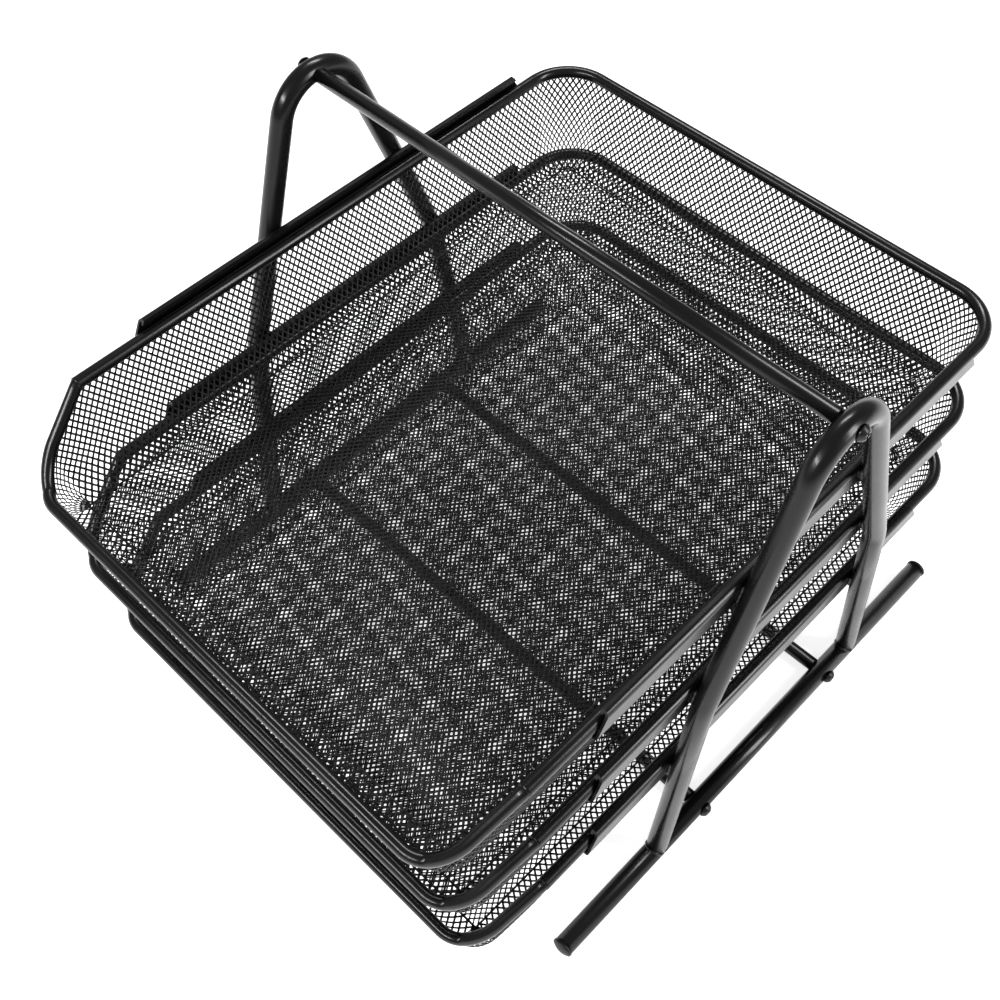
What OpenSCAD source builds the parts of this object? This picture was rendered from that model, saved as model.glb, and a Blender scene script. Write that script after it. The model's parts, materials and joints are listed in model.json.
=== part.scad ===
// Three-tier wire-mesh letter tray on a bent-tube stand.
// Origin: on the floor, under the middle of the overall box.
// X is the width, -Y is the open front, Z is up.

/* [Stand] */
// Distance between the centre lines of the two foot tubes
foot_spacing = 290; // [285:1:300]
// Length of each foot tube, without its end plugs
foot_length = 286; // [270:1:320]
// Outside diameter of the foot tubes
foot_d = 10; // [9.5:0.1:10.5]
// Outside diameter of the bent side-frame bars
leg_d = 10.4; // [10:0.1:10.6]
// Wall thickness of the foot tubes
tube_wall = 1.2; // [0.8:0.1:1.6]
// Height of the side frame's top, outside
frame_height = 269.6; // [266:0.2:276]
// Bend radius of the top of a side frame, on the bar's centre line
apex_r = 22; // [20:1:24]
// Angle of the upper legs from vertical, in degrees
upper_lean = 18.8; // [17.5:0.1:19.5]
// Angle of the lower legs from vertical, in degrees
lower_lean = 7.4; // [6.5:0.1:8]
// Height at which the upper and lower legs meet
knee_z = 132; // [128:1:136]
// Bend radius of the knee, on the bar's centre line
knee_r = 40; // [30:1:60]

/* [Crossbars] */
// Outside diameter of the handle bar across the top
handle_d = 7.2; // [7:0.1:8]
// Outside diameter of the bars between the feet
bar_d = 7.2; // [7:0.1:8]
// Front bottom bar's distance in front of the stand's middle
front_bar_y = 46; // [30:1:60]
// Rear bottom bar's distance behind the stand's middle
rear_bar_y = 56; // [30:1:64]
// Thread diameter of the screws that hold the bars
screw_d = 4; // [3:0.5:4]
// Diameter of the screws' round heads
screw_head_d = 7.4; // [6.5:0.1:8]

/* [Trays] */
// Height of the top tray's rim, at its centre line
top_rim_z = 192.4; // [192:0.1:196]
// Vertical distance from one tray to the next
tray_pitch = 57.6; // [57:0.1:58]
// Width of a tray between the centre lines of its side rims
tray_w = 270.4; // [270:0.1:270.6]
// Length of a tray at rim height, centre line to centre line
tray_l = 354.5; // [350:0.5:356]
// How far in front of the stand's middle the top tray's front lies, at rim height
tray_front = 199.5; // [198:0.5:200]
// How much further back each lower tray is pushed in
tray_step = 4.8; // [0:0.1:6]
// Depth of a tray from the rim's centre line to the underside of its floor
tray_h = 49; // [46:0.5:50]
// Diameter of the rolled rim
rim_d = 6.1; // [5.6:0.1:6.2]
// Drop from the side rims to the front lip
lip_drop = 29.4; // [20:0.2:32]
// Thickness of the pressed mesh
mesh_t = 1; // [0.8:0.1:1.2]
// Plan radius of the rim's rear corners
rear_corner_r = 25; // [24:1:32]
// Plan radius of the front corners, at rim height
front_corner_r = 21; // [21:1:26]
// How far the sides lean in at each end of the front lip
front_pinch = 5.5; // [4:0.5:6]

/* [Rails] */
// Length of each side rail along its bottom edge
rail_length = 247; // [240:1:256]
// Height of a side rail
rail_h = 13; // [12:0.1:14]
// Sheet thickness of a side rail
rail_t = 1.2; // [1:0.1:1.2]
// How far a rail's bottom lip reaches under the rim
rail_lip = 4.3; // [3.8:0.1:4.4]

/* [Hidden] */
$fn = 64;
STEEL = [0.06, 0.06, 0.065];
PLASTIC = [0.03, 0.03, 0.03];
SCREW = [0.10, 0.10, 0.11];
EPS = 0.01;

leg_x = foot_spacing / 2;
foot_z = foot_d / 2 + 0.1;
apex_z = frame_height - leg_d / 2;
apex_centre_z = apex_z - apex_r;
// Where an upper leg leaves the top bend
shoulder_y = apex_r * cos(upper_lean);
shoulder_z = apex_centre_z + apex_r * sin(upper_lean);
// Where the straight legs' centre lines cross
knee_y = shoulder_y + (shoulder_z - knee_z) * tan(upper_lean);
knee_turn = upper_lean - lower_lean;
knee_tangent = knee_r * tan(knee_turn / 2);
upper_end_y = knee_y - knee_tangent * sin(upper_lean);
upper_end_z = knee_z + knee_tangent * cos(upper_lean);
knee_centre = [upper_end_y - knee_r * cos(upper_lean), upper_end_z - knee_r * sin(upper_lean)];
// The legs are coped to fit over the top of the feet
weld_z = foot_z + 2;
foot_end_y = knee_y + (knee_z - weld_z) * tan(lower_lean);

apex_steps = 10;
knee_steps = 3;
frame_sides = 24;

// Room between pieces that slip together
slip = 0.05;
bar_wall = 0.8;
insert_len = 12;
screw_reach = 8;
screw_head_h = 2.4;
screw_head_edge = 0.5;
driver_slot_w = 1;
driver_slot_h = 1.2;
plug_spigot = 8;
plug_flange = 1.6;
plug_dome_h = 1.4;
plug_rim = 0.3;

rim_r = rim_d / 2;
rim_gap = 0.3;
rail_outer_x = leg_x - leg_d / 2;
rail_end_cut = 6.5;
rail_corner_r = 2.4;
rail_top_lip = 3.8;
rail_curl = 2.2;

// Wall profile of a tray: a slightly leaning wall, then one round turn into the floor
wall_lean = 9.5;
floor_turn_r = 14;
wall_levels = 6;
corner_points = 9;
// Where the rim starts and stops sloping, measured back from the front
slope_back = 44;
slope_front = 4.5;
// How deep the mesh is tucked into the rolled rim
mesh_tuck = 2.4;
rim_sides = 12;

function tray_rim_z(tier) = top_rim_z - tier * tray_pitch;
function tray_back_shift(tier) = tier * tray_step;

function unit(v) = v / norm(v);

// Inward set of the wall at a depth below the rim
turn_start = tray_h - floor_turn_r * (1 - sin(wall_lean));
function turn_fall(q) = 1 - (tray_h - q) / floor_turn_r;
function wall_inset(q) = q <= turn_start
  ? q * tan(wall_lean)
  : turn_start * tan(wall_lean) + floor_turn_r * (cos(wall_lean) - cos(asin(min(1, turn_fall(q)))));

// The stand sits behind the middle of the overall box, because the trays reach out in front of it
stand_y = (tray_front - wall_inset(lip_drop) - (tray_l - tray_front + 2 * tray_step)) / 2;

// Stations round a tray's plan: corner centre, corner radius and outward direction
half_w = tray_w / 2;
front_y = -tray_front;
back_y = tray_l - tray_front;
function corner(cx, cy, r, from) = [
  for (i = [0 : corner_points - 1]) [cx, cy, r, from + 90 * i / (corner_points - 1)]
];
function side(x_sign, ys) = [
  for (y = ys) [x_sign * (half_w - front_corner_r), y, front_corner_r, x_sign > 0 ? 0 : 180]
];
slope_ys = [for (d = [0, 3, 8, 16]) front_y + slope_back - d];
stations = concat(
  side(1, [for (i = [3 : -1 : 0]) slope_ys[i]]),
  corner(half_w - rear_corner_r, back_y - rear_corner_r, rear_corner_r, 0),
  corner(rear_corner_r - half_w, back_y - rear_corner_r, rear_corner_r, 90),
  side(-1, slope_ys),
  corner(front_corner_r - half_w, front_y + front_corner_r, front_corner_r, 180),
  corner(half_w - front_corner_r, front_y + front_corner_r, front_corner_r, 270)
);
function plan_y(s) = s[1] + s[2] * sin(s[3]);
// Depth of the rim below the side rims, a straight slope down to the front lip
function rim_depth(s) =
  lip_drop * min(1, max(0, (front_y + slope_back - plan_y(s)) / (slope_back - slope_front)));
// Narrowing of the front part, full at the lip and gone at the floor
function pinch(s, q) =
  1 - front_pinch / half_w * rim_depth(s) / lip_drop * (tray_h - q) / (tray_h - rim_depth(s));
function wall_point(s, q, inward) = [
  (s[0] + (s[2] - wall_inset(q) - inward) * cos(s[3])) * pinch(s, q),
  s[1] + (s[2] - wall_inset(q) - inward) * sin(s[3]),
  -q
];
// Points on an arc in the frame's own plane, [y, z]
function arc(centre, r, from, to, steps) = [
  for (i = [0 : steps])
    let (t = from + (to - from) * i / steps)
    centre + r * [cos(t), sin(t)]
];

// Centre line of a side frame's rear half, from the top bend down to the foot
rear_half = concat(
  arc([0, apex_centre_z], apex_r, 90, upper_lean, apex_steps),
  arc(knee_centre, knee_r, upper_lean, lower_lean, knee_steps),
  [[foot_end_y, weld_z]]
);
frame_path = concat(
  [for (i = [len(rear_half) - 1 : -1 : 1]) [-rear_half[i][0], rear_half[i][1]]],
  rear_half
);

// Bent bar swept along the side frame's centre line, coped over the foot tube
module side_frame(x) {
  n = len(frame_path);
  m = frame_sides;
  r = leg_d / 2 / cos(180 / m);
  points = [
    for (i = [0 : n - 1])
      let (along = unit(frame_path[min(i + 1, n - 1)] - frame_path[max(i - 1, 0)]))
      for (j = [0 : m - 1])
        let (t = 360 * (j + 0.5) / m)
        [r * sin(t), frame_path[i][0] - r * cos(t) * along[1], frame_path[i][1] + r * cos(t) * along[0]]
  ];
  sleeve = [
    for (i = [0 : n - 2])
      for (j = [0 : m - 1])
        let (a = i * m + j)
        let (b = i * m + (j + 1) % m)
        for (t = [[a, b + m, b], [a, a + m, b + m]])
          t
  ];
  first_end = [for (j = [1 : m - 2]) [0, j, j + 1]];
  last_end = [for (j = [1 : m - 2]) [(n - 1) * m, (n - 1) * m + j + 1, (n - 1) * m + j]];
  color(STEEL)
    translate([x, stand_y, 0])
      difference() {
        polyhedron(points = points, faces = concat(sleeve, first_end, last_end), convexity = 6);
        translate([-leg_d, 0, apex_z])
          rotate([0, 90, 0])
            cylinder(h = 2 * leg_d, d = screw_d + 2 * slip);
        translate([0, foot_length / 2, foot_z])
          rotate([90, 0, 0])
            cylinder(h = foot_length, d = foot_d);
      }
}

module left_side_frame() {
  side_frame(-leg_x);
}

module right_side_frame() {
  side_frame(leg_x);
}

// A tube along Y with cross holes for the bottom bars' screws
module foot_tube(x) {
  color(STEEL)
    difference() {
      translate([x, stand_y + foot_length / 2, foot_z])
        rotate([90, 0, 0])
          difference() {
            cylinder(h = foot_length, d = foot_d);
            translate([0, 0, -1])
              cylinder(h = foot_length + 2, d = foot_d - 2 * tube_wall);
          }
      for (y = [stand_y - front_bar_y, stand_y + rear_bar_y])
        translate([x - foot_d, y, foot_z])
          rotate([0, 90, 0])
            cylinder(h = 2 * foot_d, d = screw_d + 2 * slip);
    }
}

module left_foot_tube() {
  foot_tube(-leg_x);
}

module right_foot_tube() {
  foot_tube(leg_x);
}

// Plug with a spigot in the tube, a flange with a flat underside, and a low dome
module foot_plug(x, y_sign) {
  flange_d = foot_d + 2 * plug_rim;
  dome_r = (pow(foot_d / 2, 2) + pow(plug_dome_h, 2)) / (2 * plug_dome_h);
  color(PLASTIC)
    intersection() {
      translate([x, stand_y + y_sign * foot_length / 2, foot_z])
        rotate([-90 * y_sign, 0, 0]) {
          translate([0, 0, -plug_spigot])
            cylinder(h = plug_spigot, d = foot_d - 2 * tube_wall - 2 * slip);
          cylinder(h = plug_flange, d = flange_d);
          translate([0, 0, plug_flange])
            intersection() {
              translate([0, 0, plug_dome_h - dome_r])
                sphere(r = dome_r);
              cylinder(h = plug_dome_h, d = foot_d);
            }
        }
      translate([x - foot_d, -foot_length, 0])
        cube([2 * foot_d, 2 * foot_length, 2 * foot_d]);
    }
}

module left_front_foot_plug() {
  foot_plug(-leg_x, -1);
}

module left_rear_foot_plug() {
  foot_plug(-leg_x, 1);
}

module right_front_foot_plug() {
  foot_plug(leg_x, -1);
}

module right_rear_foot_plug() {
  foot_plug(leg_x, 1);
}

// A tube between the side frames or the feet, its ends butting against them
module cross_bar(y, z, d, against_d) {
  color(STEEL)
    translate([-leg_x, y, z])
      rotate([0, 90, 0])
        difference() {
          translate([0, 0, against_d / 2])
            cylinder(h = 2 * leg_x - against_d, d = d);
          translate([0, 0, -1])
            cylinder(h = 2 * leg_x + 2, d = d - 2 * bar_wall);
        }
}

// Threaded plugs in both ends of a bar
module bar_inserts(y, z, d, against_d) {
  color(SCREW)
    for (s = [0, 1])
      mirror([s, 0, 0])
        translate([leg_x - against_d / 2 - insert_len, y, z])
          rotate([0, 90, 0])
            difference() {
              cylinder(h = insert_len, d = d - 2 * bar_wall - 2 * slip);
              translate([0, 0, -1])
                cylinder(h = insert_len + 2, d = screw_d + 2 * slip);
            }
}

// Round-head screws through both outer tubes into a bar's inserts
module bar_screws(y, z, through_d) {
  dome_r = (pow(screw_head_d / 2, 2) + pow(screw_head_h, 2)) / (2 * screw_head_h);
  color(SCREW)
    for (s = [0, 1])
      mirror([s, 0, 0])
        translate([leg_x, y, z])
          rotate([0, 90, 0]) {
            translate([0, 0, -through_d / 2 - screw_reach])
              cylinder(h = through_d + screw_reach, d = screw_d);
            translate([0, 0, through_d / 2])
              difference() {
                intersection() {
                  cylinder(h = screw_head_h, d = screw_head_d);
                  translate([0, 0, screw_head_h + screw_head_edge - dome_r])
                    sphere(r = dome_r);
                }
                for (turn = [0, 90])
                  rotate([0, 0, turn])
                    translate([-screw_d / 2, -driver_slot_w / 2, screw_head_h - driver_slot_h])
                      cube([screw_d, driver_slot_w, screw_head_h]);
              }
          }
}

module handle_bar() {
  cross_bar(stand_y, apex_z, handle_d, leg_d);
}

module handle_bar_inserts() {
  bar_inserts(stand_y, apex_z, handle_d, leg_d);
}

module handle_bar_screws() {
  bar_screws(stand_y, apex_z, leg_d);
}

module front_bottom_bar() {
  cross_bar(stand_y - front_bar_y, foot_z, bar_d, foot_d);
}

module front_bar_inserts() {
  bar_inserts(stand_y - front_bar_y, foot_z, bar_d, foot_d);
}

module front_bar_screws() {
  bar_screws(stand_y - front_bar_y, foot_z, foot_d);
}

module rear_bottom_bar() {
  cross_bar(stand_y + rear_bar_y, foot_z, bar_d, foot_d);
}

module rear_bar_inserts() {
  bar_inserts(stand_y + rear_bar_y, foot_z, bar_d, foot_d);
}

module rear_bar_screws() {
  bar_screws(stand_y + rear_bar_y, foot_z, foot_d);
}

// Block from x = inset, with rounded corners at that side, open-ended to the right
module rounded_left(inset, depth) {
  r = rail_corner_r - inset;
  translate([rail_corner_r, inset])
    square([depth - rail_corner_r, rail_h - 2 * inset]);
  translate([inset, rail_corner_r])
    square([r, rail_h - 2 * rail_corner_r]);
  for (y = [rail_corner_r, rail_h - rail_corner_r])
    translate([rail_corner_r, y])
      circle(r = r);
}

// Channel section: x runs in from the outer face, y runs up from the bottom lip
module rail_section() {
  difference() {
    rounded_left(0, rail_lip);
    rounded_left(rail_t, rail_lip + 1);
    translate([rail_top_lip, rail_t + EPS])
      square([rail_lip, rail_h]);
  }
  translate([rail_top_lip - rail_t, rail_h - rail_curl])
    square([rail_t, rail_curl - rail_t / 2]);
}

module rail(side_sign, tier) {
  bottom_z = tray_rim_z(tier) - rim_r - rim_gap - rail_t;
  half = rail_length / 2;
  top_half = half - rail_end_cut;
  color(STEEL)
    mirror([side_sign > 0 ? 1 : 0, 0, 0])
      translate([-rail_outer_x, stand_y, bottom_z])
        intersection() {
          translate([0, half, 0])
            rotate([90, 0, 0])
              linear_extrude(rail_length)
                rail_section();
          rotate([90, 0, 90])
            translate([0, 0, -1])
              linear_extrude(rail_lip + 2)
                polygon([[-half, 0], [half, 0], [half, rail_t], [top_half, rail_h],
                         [-top_half, rail_h], [-half, rail_t]]);
        }
}

module left_top_rail() {
  rail(-1, 0);
}

module left_middle_rail() {
  rail(-1, 1);
}

module left_bottom_rail() {
  rail(-1, 2);
}

module right_top_rail() {
  rail(1, 0);
}

module right_middle_rail() {
  rail(1, 1);
}

module right_bottom_rail() {
  rail(1, 2);
}

// Triangles joining rings of n points, ring k to ring k + 1, in a grid that closes round n
function ring_faces(n, rings, first, flip) = [
  for (k = [0 : rings - 2])
    for (i = [0 : n - 1])
      let (a = first + k * n + i)
      let (b = first + k * n + (i + 1) % n)
      for (t = flip ? [[a, a + n, b + n], [a, b + n, b]] : [[a, b + n, a + n], [a, b, b + n]])
        t
];

// Depth of station s on ring k: two steps down the wall, then round the turn into the floor
function turn_angle(start, k) =
  let (from = asin(1 - (tray_h - start) / floor_turn_r))
  from + (90 - from) * (k - 2) / wall_levels;
function ring_depth(s, k) =
  let (top = rim_depth(s) + mesh_tuck)
  k <= 2
    ? top + (turn_start - top) * k / 2
    : tray_h - floor_turn_r * (1 - sin(turn_angle(turn_start, k)));

// Pressed mesh basket as a closed shell, from inside the rolled rim down to the floor
module tray_basket(tier) {
  n = len(stations);
  rings = wall_levels + 3;
  outer = [
    for (k = [0 : rings - 1])
      for (s = stations)
        wall_point(s, ring_depth(s, k), -mesh_t / 2)
  ];
  inner = [
    for (k = [0 : rings - 1])
      for (s = stations)
        wall_point(s, ring_depth(s, k), mesh_t / 2) + [0, 0, mesh_t * k / (rings - 1)]
  ];
  inner_first = n * rings;
  last = (rings - 1) * n;
  middle = [0, (front_y + back_y) / 2, -tray_h];
  under = 2 * n * rings;
  top_band = [
    for (i = [0 : n - 1])
      let (j = (i + 1) % n)
      for (t = [[i, inner_first + i, inner_first + j], [i, inner_first + j, j]])
        t
  ];
  underside = [for (i = [0 : n - 1]) [last + i, last + (i + 1) % n, under]];
  floor_top = [
    for (i = [0 : n - 1])
      [inner_first + last + (i + 1) % n, inner_first + last + i, under + 1]
  ];
  color(STEEL)
    translate([0, stand_y + tray_back_shift(tier), tray_rim_z(tier)])
      polyhedron(
        points = concat(outer, inner, [middle, middle + [0, 0, mesh_t]]),
        faces = concat(ring_faces(n, rings, 0, false), ring_faces(n, rings, inner_first, true),
                       top_band, underside, floor_top),
        convexity = 6
      );
}

// Rolled rim swept along the basket's top edge
module tray_rim(tier) {
  path = [for (s = stations) wall_point(s, rim_depth(s), 0)];
  n = len(path);
  rings = [
    for (i = [0 : n - 1])
      let (along = unit(path[(i + 1) % n] - path[(i + n - 1) % n]))
      let (across = unit(cross(along, [0, 0, 1])))
      let (up = cross(across, along))
      for (j = [0 : rim_sides - 1])
        path[i] + rim_r * (across * cos(360 * j / rim_sides) + up * sin(360 * j / rim_sides))
  ];
  m = rim_sides;
  faces = [
    for (i = [0 : n - 1])
      for (j = [0 : m - 1])
        let (a = i * m + j)
        let (b = i * m + (j + 1) % m)
        let (step = ((i + 1) % n - i) * m)
        for (t = [[a, b, b + step], [a, b + step, a + step]])
          t
  ];
  color(STEEL)
    translate([0, stand_y + tray_back_shift(tier), tray_rim_z(tier)])
      polyhedron(points = rings, faces = faces, convexity = 6);
}

module top_tray_basket() {
  tray_basket(0);
}

module top_tray_rim() {
  tray_rim(0);
}

module middle_tray_basket() {
  tray_basket(1);
}

module middle_tray_rim() {
  tray_rim(1);
}

module bottom_tray_basket() {
  tray_basket(2);
}

module bottom_tray_rim() {
  tray_rim(2);
}

left_side_frame();
right_side_frame();
left_foot_tube();
right_foot_tube();
left_front_foot_plug();
left_rear_foot_plug();
right_front_foot_plug();
right_rear_foot_plug();
handle_bar();
handle_bar_inserts();
handle_bar_screws();
front_bottom_bar();
front_bar_inserts();
front_bar_screws();
rear_bottom_bar();
rear_bar_inserts();
rear_bar_screws();
left_top_rail();
left_middle_rail();
left_bottom_rail();
right_top_rail();
right_middle_rail();
right_bottom_rail();
top_tray_basket();
top_tray_rim();
middle_tray_basket();
middle_tray_rim();
bottom_tray_basket();
bottom_tray_rim();
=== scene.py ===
"""Looks of the three-tier mesh letter tray. Metres, in the CAD frame: +Y is the back, +Z is up."""
import json
import math

import bpy
from mathutils import Matrix, Vector


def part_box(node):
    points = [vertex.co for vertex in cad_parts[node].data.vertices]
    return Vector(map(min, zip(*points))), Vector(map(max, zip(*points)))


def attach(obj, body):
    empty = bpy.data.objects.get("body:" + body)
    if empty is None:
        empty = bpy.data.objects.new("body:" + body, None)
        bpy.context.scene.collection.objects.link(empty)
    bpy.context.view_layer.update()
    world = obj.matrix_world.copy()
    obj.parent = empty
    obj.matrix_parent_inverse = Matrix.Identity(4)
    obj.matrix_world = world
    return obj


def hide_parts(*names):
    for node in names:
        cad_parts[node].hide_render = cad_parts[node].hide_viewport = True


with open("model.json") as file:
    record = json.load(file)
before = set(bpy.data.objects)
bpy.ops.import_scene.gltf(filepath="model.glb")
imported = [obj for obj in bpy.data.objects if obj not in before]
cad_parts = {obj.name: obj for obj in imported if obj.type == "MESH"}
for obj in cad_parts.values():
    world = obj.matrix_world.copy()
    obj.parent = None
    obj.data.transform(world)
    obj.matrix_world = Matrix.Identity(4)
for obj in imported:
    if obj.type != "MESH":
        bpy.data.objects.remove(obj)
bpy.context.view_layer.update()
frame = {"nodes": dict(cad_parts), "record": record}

MM = 0.001
TIERS = ("top", "middle", "bottom")

# Sizes that the boxes of the CAD nodes don't give
RIM_R = 3.05 * MM
WALL_LEAN = math.radians(9.5)
TURN_R = 14 * MM
REAR_R = 25 * MM
FRONT_R = 21 * MM
PINCH = 5.5 * MM
FRONT_RIM_R = 2.88 * MM
SLOPE_BACK = 44 * MM
SLOPE_FRONT = 4.5 * MM
LEG_R = 5.2 * MM
FOOT_R = 5.0 * MM
APEX_R = 22 * MM
UPPER_LEAN = math.radians(18.8)
LOWER_LEAN = math.radians(7.4)
KNEE_Z = 132 * MM
KNEE_R = 40 * MM
RAIL_H = 13 * MM
CELL_W = 3.5 * MM
CELL_H = 4.9 * MM
STRAND_W = 0.52 * MM
STRAND_T = 0.36 * MM
FLOOR_CELL_W = 2.8 * MM
FLOOR_CELL_H = 3.6 * MM
FLOOR_STRAND_W = 0.38 * MM
# The mesh sheets are cut at slightly different angles
SHEET_TURN = {"top": 0.0, "middle": math.radians(4.5), "bottom": math.radians(-6.0)}


def middle(node):
    lo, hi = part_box(node)
    return (Vector(lo) + Vector(hi)) / 2


# ---------------------------------------------------------------- materials

def paint(name, colour, rough, peel, peel_size, coat=0.0, wear=0.25):
    """Black finish: uneven roughness, a fine bump, and a slightly paler rubbed tone in patches."""
    m = bpy.data.materials.new(name)
    m.use_nodes = True
    nt = m.node_tree
    b = nt.nodes["Principled BSDF"]
    b.inputs["Coat Weight"].default_value = coat
    b.inputs["Coat Roughness"].default_value = 0.12
    b.inputs["Specular IOR Level"].default_value = 0.26
    coord = nt.nodes.new("ShaderNodeTexCoord")
    patches = nt.nodes.new("ShaderNodeTexNoise")
    patches.inputs["Scale"].default_value = 38.0
    patches.inputs["Detail"].default_value = 5.0
    nt.links.new(coord.outputs["Object"], patches.inputs["Vector"])
    tone = nt.nodes.new("ShaderNodeMix")
    tone.data_type = "RGBA"
    tone.inputs["A"].default_value = (*colour, 1)
    tone.inputs["B"].default_value = (*[c * (1 + wear) for c in colour], 1)
    nt.links.new(patches.outputs["Fac"], tone.inputs["Factor"])
    nt.links.new(tone.outputs["Result"], b.inputs["Base Color"])
    spread = nt.nodes.new("ShaderNodeMapRange")
    spread.inputs["From Min"].default_value = 0.3
    spread.inputs["From Max"].default_value = 0.7
    spread.inputs["To Min"].default_value = rough - 0.05
    spread.inputs["To Max"].default_value = rough + 0.07
    nt.links.new(patches.outputs["Fac"], spread.inputs["Value"])
    nt.links.new(spread.outputs["Result"], b.inputs["Roughness"])
    grain = nt.nodes.new("ShaderNodeTexNoise")
    grain.inputs["Scale"].default_value = peel_size
    grain.inputs["Detail"].default_value = 3.0
    nt.links.new(coord.outputs["Object"], grain.inputs["Vector"])
    bump = nt.nodes.new("ShaderNodeBump")
    bump.inputs["Strength"].default_value = peel
    bump.inputs["Distance"].default_value = 0.00006
    nt.links.new(grain.outputs["Fac"], bump.inputs["Height"])
    nt.links.new(bump.outputs["Normal"], b.inputs["Normal"])
    return m


STEEL = paint("gloss_black_powder_coat", (0.003, 0.003, 0.0032), 0.26, 0.3, 900.0, coat=0.15)
MESH = paint("black_coated_mesh", (0.004, 0.004, 0.0042), 0.4, 0.3, 1400.0)
PLASTIC = paint("moulded_black_plastic", (0.006, 0.006, 0.006), 0.42, 0.4, 1700.0)
SCREW = paint("black_oxide_screw", (0.008, 0.008, 0.0084), 0.3, 0.3, 2100.0, wear=0.6)
WELD = paint("coated_weld", (0.004, 0.004, 0.0042), 0.34, 0.9, 620.0, coat=0.2)
ZINC = paint("zinc_plate", (0.42, 0.42, 0.43), 0.35, 0.3, 1800.0)
ZINC.node_tree.nodes["Principled BSDF"].inputs["Metallic"].default_value = 1.0

SLOTS = {
    "black_steel": STEEL, "black_mesh": MESH, "black_plastic": PLASTIC,
    "black_screw": SCREW, "zinc_insert": ZINC,
}
for sub in frame["record"]["subparts"]:
    node = frame["nodes"][sub["node"]]
    node.data.materials.clear()
    node.data.materials.append(SLOTS[sub["material_slot"]])


# ---------------------------------------------------------------- mesh building

def piece(name, verts, faces, material, slot, body, nodes=()):
    mesh = bpy.data.meshes.new(name)
    mesh.from_pydata([tuple(v) for v in verts], [], faces)
    mesh.validate()
    mesh.shade_smooth()
    mesh.materials.append(material)
    obj = bpy.data.objects.new(name, mesh)
    bpy.context.scene.collection.objects.link(obj)
    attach(obj, body)
    if nodes:
        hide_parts(*nodes)
    return obj


def join(parts):
    """Several (verts, faces) pairs as one."""
    verts, faces = [], []
    for v, f in parts:
        base = len(verts)
        verts.extend(v)
        faces.extend([tuple(i + base for i in face) for face in f])
    return verts, faces


def sweep(path, normals, half_side, half_normal, sides, closed=False, scale=None):
    """An elliptical bar along path, with its second half-axis along the normal at each point."""
    scale = scale or [1.0] * len(path)
    n = len(path)
    verts, faces = [], []
    for i, (p, up) in enumerate(zip(path, normals)):
        if closed:
            along = path[(i + 1) % n] - path[i - 1]
        else:
            along = path[min(i + 1, n - 1)] - path[max(i - 1, 0)]
        side = along.cross(up).normalized()
        up = side.cross(along).normalized()
        for j in range(sides):
            t = 2 * math.pi * j / sides
            verts.append(p + (side * (half_side * math.cos(t)) + up * (half_normal * math.sin(t))) * scale[i])
    for i in range(n if closed else n - 1):
        for j in range(sides):
            a, b = i * sides + j, i * sides + (j + 1) % sides
            c, d = (i + 1) % n * sides + (j + 1) % sides, (i + 1) % n * sides + j
            faces.append((a, b, c, d))
    if not closed:
        faces.append(tuple(range(sides - 1, -1, -1)))
        faces.append(tuple(range((n - 1) * sides, n * sides)))
    return verts, faces


def lathe(profile, origin, axis, sides=48):
    """Profile of (distance along axis, radius) turned round an axis of X or Y through origin."""
    verts, faces = [], []
    across = Vector((0, 1, 0)) if abs(axis.x) > 0.5 else Vector((1, 0, 0))
    other = axis.cross(across)
    for along, r in profile:
        for j in range(sides):
            t = 2 * math.pi * j / sides
            verts.append(origin + axis * along + across * (r * math.cos(t)) + other * (r * math.sin(t)))
    for i in range(len(profile) - 1):
        for j in range(sides):
            a, b = i * sides + j, i * sides + (j + 1) % sides
            faces.append((a, b, b + sides, a + sides))
    faces.append(tuple(range(sides - 1, -1, -1)))
    faces.append(tuple(range((len(profile) - 1) * sides, len(profile) * sides)))
    return verts, faces


# ---------------------------------------------------------------- trays

rim_lo, rim_hi = (Vector(c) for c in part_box("top_tray_rim"))
basket_lo = Vector(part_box("top_tray_basket")[0])
HALF_W = rim_hi.x - RIM_R
BACK = rim_hi.y - RIM_R
TOP_Z = rim_hi.z - RIM_R
DEPTH = TOP_Z - basket_lo.z - 0.5 * MM
LIP_DROP = TOP_Z - rim_lo.z - RIM_R
FRONT = rim_lo.y + RIM_R - LIP_DROP * math.tan(WALL_LEAN)

TURN_START = DEPTH - TURN_R * (1 - math.sin(WALL_LEAN))
STRAIGHT = TURN_START / math.cos(WALL_LEAN)
PROFILE = STRAIGHT + TURN_R * (math.pi / 2 - WALL_LEAN)
FLOOR_INSET = TURN_START * math.tan(WALL_LEAN) + TURN_R * math.cos(WALL_LEAN)

SIDE_LEN = BACK - FRONT - REAR_R - FRONT_R
REAR_LEN = 2 * (HALF_W - REAR_R)
FRONT_LEN = 2 * (HALF_W - FRONT_R)
LEGS = (
    ("line", SIDE_LEN, (HALF_W, FRONT + FRONT_R), 0.0),
    ("arc", REAR_R * math.pi / 2, (HALF_W - REAR_R, BACK - REAR_R), 0.0, REAR_R),
    ("line", REAR_LEN, (HALF_W - REAR_R, BACK), math.pi / 2),
    ("arc", REAR_R * math.pi / 2, (REAR_R - HALF_W, BACK - REAR_R), math.pi / 2, REAR_R),
    ("line", SIDE_LEN, (-HALF_W, BACK - REAR_R), math.pi),
    ("arc", FRONT_R * math.pi / 2, (FRONT_R - HALF_W, FRONT + FRONT_R), math.pi, FRONT_R),
    ("line", FRONT_LEN, (FRONT_R - HALF_W, FRONT), 1.5 * math.pi),
    ("arc", FRONT_R * math.pi / 2, (HALF_W - FRONT_R, FRONT + FRONT_R), 1.5 * math.pi, FRONT_R),
)
ROUND = sum(leg[1] for leg in LEGS)


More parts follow.
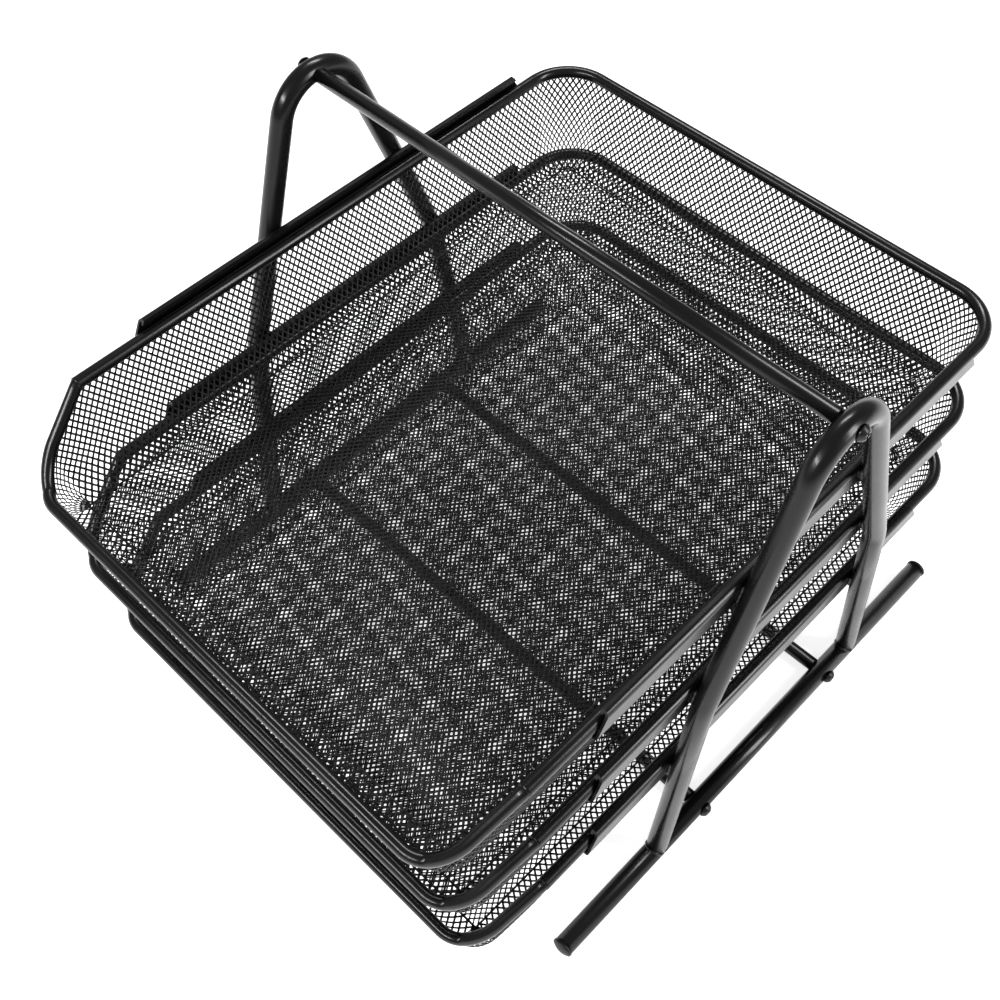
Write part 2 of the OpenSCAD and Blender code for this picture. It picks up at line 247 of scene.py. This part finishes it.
def plan(u):
    """Point and outward direction on the tray's outline, u metres round it at rim height."""
    u %= ROUND
    for leg in LEGS:
        if u <= leg[1]:
            break
        u -= leg[1]
    if leg[0] == "line":
        out = Vector((math.cos(leg[3]), math.sin(leg[3]), 0))
        return Vector((*leg[2], 0)) + Vector((-out.y, out.x, 0)) * u, out
    t = leg[3] + u / leg[4]
    out = Vector((math.cos(t), math.sin(t), 0))
    return Vector((*leg[2], 0)) + out * leg[4], out


def crowding(u, inset):
    """How much closer strands stand at an inset than at the rim: 1 on the sides, less in a corner."""
    u %= ROUND
    for leg in LEGS:
        if u <= leg[1]:
            return 1.0 if leg[0] == "line" else 1 - inset / leg[4]
        u -= leg[1]
    return 1.0


def profile(p):
    """Depth, inward set and lean of the wall, p metres down it."""
    if p <= STRAIGHT:
        return p * math.cos(WALL_LEAN), p * math.sin(WALL_LEAN), WALL_LEAN
    a = WALL_LEAN + (p - STRAIGHT) / TURN_R
    return (
        DEPTH - TURN_R * (1 - math.sin(a)),
        TURN_START * math.tan(WALL_LEAN) + TURN_R * (math.cos(WALL_LEAN) - math.cos(a)),
        a,
    )


def rim_depth(y):
    return LIP_DROP * min(1, max(0, (FRONT + SLOPE_BACK - y) / (SLOPE_BACK - SLOPE_FRONT)))


def narrowed(at, y, q):
    """The sides lean in towards the front lip, and not at all at the floor."""
    d = rim_depth(y)
    at.x *= 1 - PINCH / HALF_W * d / LIP_DROP * (DEPTH - q) / (DEPTH - d)
    return at


def wall(u, p):
    """Point on the wall's middle surface and its outward normal, for the top tray."""
    at, out = plan(u)
    q, inset, a = profile(p)
    point = narrowed(at - out * inset + Vector((0, 0, TOP_Z - q)), at.y, q)
    return point, out * math.cos(a) - Vector((0, 0, math.sin(a)))


def mesh_wall():
    """Two families of strands that run down the wall and round into the floor."""
    parts = []
    count = round(ROUND / CELL_W)
    lean = CELL_W / CELL_H
    for family in (-1, 1):
        for i in range(count):
            u0 = ROUND * i / count
            lo, hi = 0.0, STRAIGHT
            for _ in range(14):
                p = (lo + hi) / 2
                at, _out = plan(u0 + family * lean * p)
                if profile(p)[0] > rim_depth(at.y) + 1.2 * MM:
                    hi = p
                else:
                    lo = p
            steps = 14
            rows, widths = [], []
            for k in range(steps + 1):
                p = hi + (PROFILE - hi) * k / steps
                u = u0 + family * lean * p
                rows.append(wall(u, p))
                widths.append(max(0.5, crowding(u, profile(p)[1])))
            parts.append(sweep([r[0] for r in rows], [r[1] for r in rows], STRAND_W, STRAND_T, 4, scale=widths))
    return join(parts)


def inside_floor(x, y):
    """True inside the flat floor, whose corners are rounded."""
    w = HALF_W - FLOOR_INSET
    lo, hi = FRONT + FLOOR_INSET, BACK - FLOOR_INSET
    if abs(x) > w or y < lo or y > hi:
        return False
    r = REAR_R - FLOOR_INSET if y > 0 else FRONT_R - FLOOR_INSET
    cx, cy = w - r, (hi - r if y > 0 else lo + r)
    past = abs(x) > cx and (y > cy if y > 0 else y < cy)
    return not past or math.hypot(abs(x) - cx, y - cy) <= r


def mesh_floor(turn):
    """Straight strands clipped to the floor, the whole lattice turned a little on each tray."""
    parts = []
    z = TOP_Z - DEPTH
    centre = (FRONT + BACK) / 2
    reach = math.hypot(HALF_W, BACK - FRONT)
    up = Vector((0, 0, 1))
    pitch = FLOOR_CELL_W * math.cos(math.atan2(FLOOR_CELL_W, FLOOR_CELL_H))
    for family in (-1, 1):
        t = math.atan2(FLOOR_CELL_H, family * FLOOR_CELL_W) + turn
        along, across = Vector((math.cos(t), math.sin(t), 0)), Vector((-math.sin(t), math.cos(t), 0))
        count = int(reach / pitch / 2)
        for i in range(-count, count + 1):
            foot = Vector((0, centre, z)) + across * (i * pitch)
            on = [k for k in range(-220, 221) if inside_floor(*(foot + along * (k * MM)).xy)]
            if len(on) < 2:
                continue
            ends = [foot + along * (k * MM) for k in (on[0], on[-1])]
            parts.append(sweep(ends, [up, up], FLOOR_STRAND_W, STRAND_T, 4))
    return join(parts)


BEND_U = FRONT + SLOPE_BACK - (FRONT + FRONT_R)


def rim_line(start, end):
    """Centre line of the rolled rim from start to end round the outline, with its outward directions."""
    count = int((end - start) / (2.2 * MM))
    path, outs = [], []
    for k in range(count + 1):
        at, out = plan(start + (end - start) * k / count)
        q = rim_depth(at.y)
        point = at - out * (q * math.tan(WALL_LEAN)) + Vector((0, 0, TOP_Z - q))
        path.append(narrowed(point, at.y, q))
        outs.append(out)
    return path, outs


def rim():
    """The strip round the sides and back ends square just past the bends, over the thinner front strip."""
    far = ROUND - FRONT_LEN - FRONT_R * math.pi - BEND_U
    path, outs = rim_line(BEND_U, far)
    over = Vector((0, -1.0 * MM, 0))
    path = [path[0] + over] + path + [path[-1] + over]
    outs = [outs[0]] + outs + [outs[-1]]
    back = sweep(path, outs, RIM_R, RIM_R, 20)
    front = sweep(*rim_line(far - 2 * MM, ROUND + BEND_U + 2 * MM), FRONT_RIM_R, FRONT_RIM_R, 20)
    return join([back, front])


def crease():
    """The pressed fold round the floor's edge."""
    count = 260
    rows = [wall(ROUND * k / count, PROFILE) for k in range(count)]
    return sweep([r[0] for r in rows], [r[1] for r in rows], 0.55 * MM, 0.4 * MM, 8, closed=True)


wall_mesh = join([mesh_wall(), crease()])
rim_mesh = rim()


def moved(part, by):
    return [v + by for v in part[0]], part[1]


for tier in TIERS:
    by = Vector(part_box(tier + "_tray_rim")[0]) - rim_lo
    body = tier + "_tray"
    piece(tier + "_rolled_rim", *moved(rim_mesh, by), STEEL, "black_steel", body, [tier + "_tray_rim"])
    piece(tier + "_mesh_walls", *moved(wall_mesh, by), MESH, "black_mesh", body, [tier + "_tray_basket"])
    floor_mesh = mesh_floor(SHEET_TURN[tier])
    piece(tier + "_mesh_floor", *moved(floor_mesh, by), MESH, "black_mesh", body, [tier + "_tray_basket"])


# ---------------------------------------------------------------- stand

apex_z = middle("handle_bar").z
stand_y = middle("handle_bar").y
foot_z = middle("left_foot_tube").z
leg_x = middle("right_foot_tube").x
apex_centre = Vector((0, stand_y, apex_z - APEX_R))
shoulder = (APEX_R * math.cos(UPPER_LEAN), apex_centre.z + APEX_R * math.sin(UPPER_LEAN))
knee_y = shoulder[0] + (shoulder[1] - KNEE_Z) * math.tan(UPPER_LEAN)
knee_tangent = KNEE_R * math.tan((UPPER_LEAN - LOWER_LEAN) / 2)
upper_end = (knee_y - knee_tangent * math.sin(UPPER_LEAN), KNEE_Z + knee_tangent * math.cos(UPPER_LEAN))
knee_centre = (upper_end[0] - KNEE_R * math.cos(UPPER_LEAN), upper_end[1] - KNEE_R * math.sin(UPPER_LEAN))


def leg_y(z):
    """Distance of a leg's centre line from the stand's middle at height z."""
    lean = UPPER_LEAN if z > KNEE_Z else LOWER_LEAN
    return knee_y + (KNEE_Z - z) * math.tan(lean)


def leg_path():
    """Centre line of a side frame in (y, z), from the rear foot over the top to the front foot."""
    half = [(0.0, apex_z)]
    for k in range(1, 19):
        t = math.pi / 2 + (UPPER_LEAN - math.pi / 2) * k / 18
        half.append((APEX_R * math.cos(t), apex_centre.z + APEX_R * math.sin(t)))
    for k in range(9):
        t = UPPER_LEAN + (LOWER_LEAN - UPPER_LEAN) * k / 8
        half.append((knee_centre[0] + KNEE_R * math.cos(t), knee_centre[1] + KNEE_R * math.sin(t)))
    end_z = foot_z + 2.2 * MM
    half.append((leg_y(end_z), end_z))
    return [(y, z) for y, z in reversed(half)] + [(-y, z) for y, z in half[1:]]


def bead(path, normals, r, lumps):
    """A weld bead: a bar along path whose thickness swells and narrows."""
    verts, faces = sweep(path, normals, r, r, 10)
    for i, p in enumerate(path):
        ends = 0.55 if i in (0, len(path) - 1) else 1.0
        swell = ends * (1 + 0.14 * math.sin(i * lumps))
        for j in range(10):
            k = i * 10 + j
            verts[k] = p + (verts[k] - p) * swell
    return verts, faces


def foot_weld(x, y_sign):
    """Bead round the base of a leg, where it meets the top of the foot tube."""
    path, ups = [], []
    for k in range(41):
        t = 2 * math.pi * k / 40
        dx = (LEG_R - 0.2 * MM) * math.cos(t)
        dx = max(-FOOT_R * 0.93, min(FOOT_R * 0.93, dx))
        z = foot_z + math.sqrt(FOOT_R ** 2 - dx ** 2)
        y = y_sign * leg_y(z) + LEG_R * math.sin(t) * 1.02
        path.append(Vector((x + dx, stand_y + y, z + 0.1 * MM)))
        ups.append(Vector((dx, 0, z - foot_z)).normalized())
    return bead(path, ups, 0.75 * MM, 1.7)


for side, sign in (("left", -1), ("right", 1)):
    x = sign * leg_x
    path = [Vector((x, stand_y + y, z)) for y, z in leg_path()]
    verts, faces = sweep(path, [Vector((1, 0, 0))] * len(path), LEG_R, LEG_R, 32)
    piece(side + "_bent_frame", verts, faces, STEEL, "black_steel", "stand", [side + "_side_frame"])
    lo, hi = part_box(side + "_foot_tube")
    ends = [Vector((x, lo[1], foot_z)), Vector((x, hi[1], foot_z))]
    verts, faces = sweep(ends, [Vector((1, 0, 0))] * 2, FOOT_R, FOOT_R, 40)
    piece(side + "_foot_bar", verts, faces, STEEL, "black_steel", "stand", [side + "_foot_tube"])
    welds = join([foot_weld(x, -1), foot_weld(x, 1)])
    piece(side + "_foot_welds", *welds, WELD, "black_steel", "stand")
    for tier in TIERS:
        r_lo, r_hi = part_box("%s_%s_rail" % (side, tier))
        face = r_lo[0] if sign < 0 else r_hi[0]
        beads = []
        for y_sign in (-1, 1):
            for offset in (-2.6 * MM, 2.6 * MM):
                zs = [r_lo[2] + 2.6 * MM + (RAIL_H - 5.2 * MM) * k / 12 for k in range(13)]
                line = [Vector((face + sign * 0.5 * MM, stand_y + y_sign * leg_y(z) + offset, z)) for z in zs]
                beads.append(bead(line, [Vector((1, 0, 0))] * 13, 1.0 * MM, 1.3))
        piece("%s_%s_rail_welds" % (side, tier), *join(beads), WELD, "black_steel", "stand")

for node in ("handle_bar", "front_bottom_bar", "rear_bottom_bar"):
    lo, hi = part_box(node)
    c = middle(node)
    r = (hi[2] - lo[2]) / 2
    ends = [Vector((lo[0], c.y, c.z)), Vector((hi[0], c.y, c.z))]
    verts, faces = sweep(ends, [Vector((0, 0, 1))] * 2, r, r, 36)
    piece(node + "_tube", verts, faces, STEEL, "black_steel", "stand", [node])

for side, sign in (("left", -1), ("right", 1)):
    for end, y_sign in (("front", -1), ("rear", 1)):
        node = "%s_%s_foot_plug" % (side, end)
        lo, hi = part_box(node)
        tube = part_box(side + "_foot_tube")
        seat = tube[0][1] if y_sign < 0 else tube[1][1]
        tip = abs((lo[1] if y_sign < 0 else hi[1]) - seat)
        flange = 1.6 * MM
        dome = tip - flange
        shape = [(-8 * MM, 3.6 * MM), (0.0, 3.6 * MM), (0.0, 5.1 * MM), (0.2 * MM, 5.3 * MM)]
        shape += [(flange - 0.3 * MM, 5.3 * MM), (flange, 5.0 * MM)]
        ball = (FOOT_R ** 2 + dome ** 2) / (2 * dome)
        for k in range(1, 9):
            r = FOOT_R * 0.96 * math.cos(math.pi / 2 * k / 8.2)
            shape.append((flange + dome - ball + math.sqrt(ball ** 2 - r ** 2), r))
        verts, faces = lathe(shape, Vector((sign * leg_x, seat, foot_z)), Vector((0, y_sign, 0)))
        verts = [Vector((v.x, v.y, max(v.z, 0.0))) for v in verts]
        piece(node + "_cap", verts, faces, PLASTIC, "black_plastic", "stand", [node])

# Rails keep their CAD shape, with their sharp edges softened
for side in ("left", "right"):
    for tier in TIERS:
        rail = frame["nodes"]["%s_%s_rail" % (side, tier)]
        soft = rail.modifiers.new("soft_edges", "BEVEL")
        soft.width = 0.25 * MM
        soft.segments = 2
        soft.limit_method = "ANGLE"
        soft.harden_normals = True


# ---------------------------------------------------------------- floor, light and camera

def area(name, at, aim, size, power, size_y=None):
    light = bpy.data.lights.new(name, "AREA")
    light.shape = "RECTANGLE"
    light.size = size
    light.size_y = size_y or size
    light.energy = power
    obj = bpy.data.objects.new(name, light)
    obj.location = at
    obj.rotation_euler = (Vector(aim) - Vector(at)).to_track_quat("-Z", "Y").to_euler()
    bpy.context.scene.collection.objects.link(obj)


mesh = bpy.data.meshes.new("studio_floor")
corners = [(x * 30, y * 30, -0.0004) for x, y in ((-1, -1), (1, -1), (1, 1), (-1, 1))]
mesh.from_pydata(corners, [], [(0, 1, 2, 3)])
floor = bpy.data.objects.new("studio_floor", mesh)
bpy.context.scene.collection.objects.link(floor)
pale = bpy.data.materials.new("pale_floor")
pale.use_nodes = True
surface = pale.node_tree.nodes["Principled BSDF"]
surface.inputs["Base Color"].default_value = (0.93, 0.93, 0.93, 1)
surface.inputs["Roughness"].default_value = 0.9
surface.inputs["Emission Color"].default_value = (1, 1, 1, 1)
surface.inputs["Emission Strength"].default_value = 0.8
surface.inputs["Specular IOR Level"].default_value = 0.1
mesh.materials.append(pale)

world = bpy.data.worlds.new("soft_room")
world.use_nodes = True
world.node_tree.nodes["Background"].inputs["Color"].default_value = (1, 1, 1, 1)
world.node_tree.nodes["Background"].inputs["Strength"].default_value = 0.3
bpy.context.scene.world = world

area("key_softbox", (-0.15, -1.0, 1.0), (0, 0, 0.1), 0.9, 12.0, size_y=0.12)
area("side_strip", (1.1, 0.5, 0.75), (0, 0, 0.12), 0.25, 12.0, size_y=0.9)
area("top_panel", (-0.5, 0.6, 1.2), (0, 0, 0.1), 0.5, 7.0, size_y=0.15)

bpy.context.scene.view_settings.view_transform = "Standard"

AZ, EL, ROLL = math.radians(44.10), math.radians(54.13), math.radians(-0.41)
look = Vector((-math.sin(AZ) * math.cos(EL), math.cos(AZ) * math.cos(EL), -math.sin(EL)))
right = Vector((math.cos(AZ), math.sin(AZ), 0))
up = right.cross(look)
tilted_right = right * math.cos(ROLL) + up * math.sin(ROLL)
tilted_up = tilted_right.cross(look)
camera_data = bpy.data.cameras.new("camera")
camera_data.lens = 47.7
camera_data.sensor_width = 36
camera_data.shift_x = -0.0356
camera_data.shift_y = -0.0137
camera_data.clip_start = 0.01
camera = bpy.data.objects.new("camera", camera_data)
place = Matrix((tilted_right, tilted_up, -look)).transposed().to_4x4()
place.translation = Vector((0.0052, -0.0004, 0.1094)) - look * 0.6433
camera.matrix_world = place
bpy.context.scene.collection.objects.link(camera)
bpy.context.scene.camera = camera
